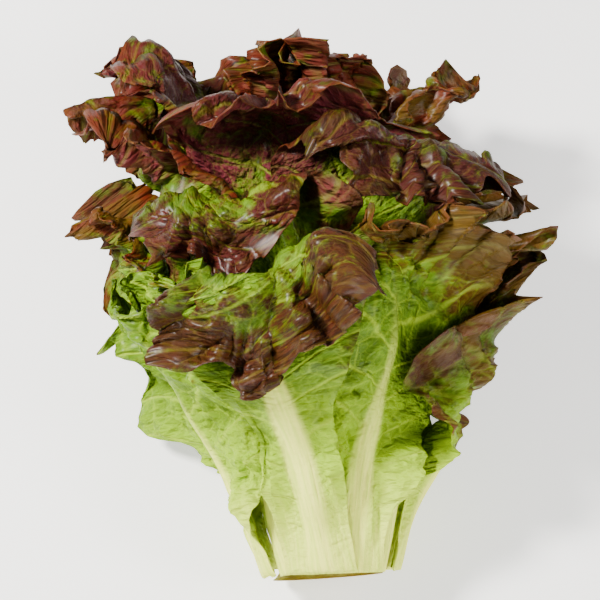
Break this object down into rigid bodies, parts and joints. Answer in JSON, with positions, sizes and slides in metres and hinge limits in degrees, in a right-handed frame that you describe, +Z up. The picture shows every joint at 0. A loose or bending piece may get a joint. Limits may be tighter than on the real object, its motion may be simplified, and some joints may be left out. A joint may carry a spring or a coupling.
{
  "type": "red leaf lettuce",
  "caption": "Head of red leaf lettuce, cut at the butt and lying on its back: pale ribs, green blades and ruffled dark red tops",
  "frame": {"origin": "on the surface that the head lies on, under the middle of its bounding box", "axes": "the cut end faces -Y and the leaf tips +Y; +Z is up from the surface, towards the side that the picture shows; +X is to the right of that view"},
  "size_m": [0.224, 0.2511, 0.1615],
  "materials": {
    "pale_stem": "moist cut stem, cream",
    "red_leaf": "glossy ruffled leaf, dark red over green",
    "green_leaf": "glossy ruffled leaf, yellow green"
  },
  "bodies": {
    "root": {"stem": "pale_stem", "leaf_01": "red_leaf", "leaf_02": "red_leaf", "leaf_03": "red_leaf", "leaf_04": "red_leaf", "leaf_05": "red_leaf", "leaf_06": "red_leaf", "leaf_07": "red_leaf", "leaf_08": "red_leaf", "leaf_09": "red_leaf", "leaf_10": "red_leaf", "leaf_11": "red_leaf", "leaf_12": "red_leaf", "leaf_13": "red_leaf", "leaf_14": "red_leaf", "leaf_15": "red_leaf", "leaf_16": "red_leaf", "leaf_17": "red_leaf", "leaf_18": "red_leaf", "leaf_19": "red_leaf", "heart_leaf_1": "green_leaf", "heart_leaf_2": "green_leaf", "heart_leaf_3": "green_leaf"}
  },
  "joints": []
}
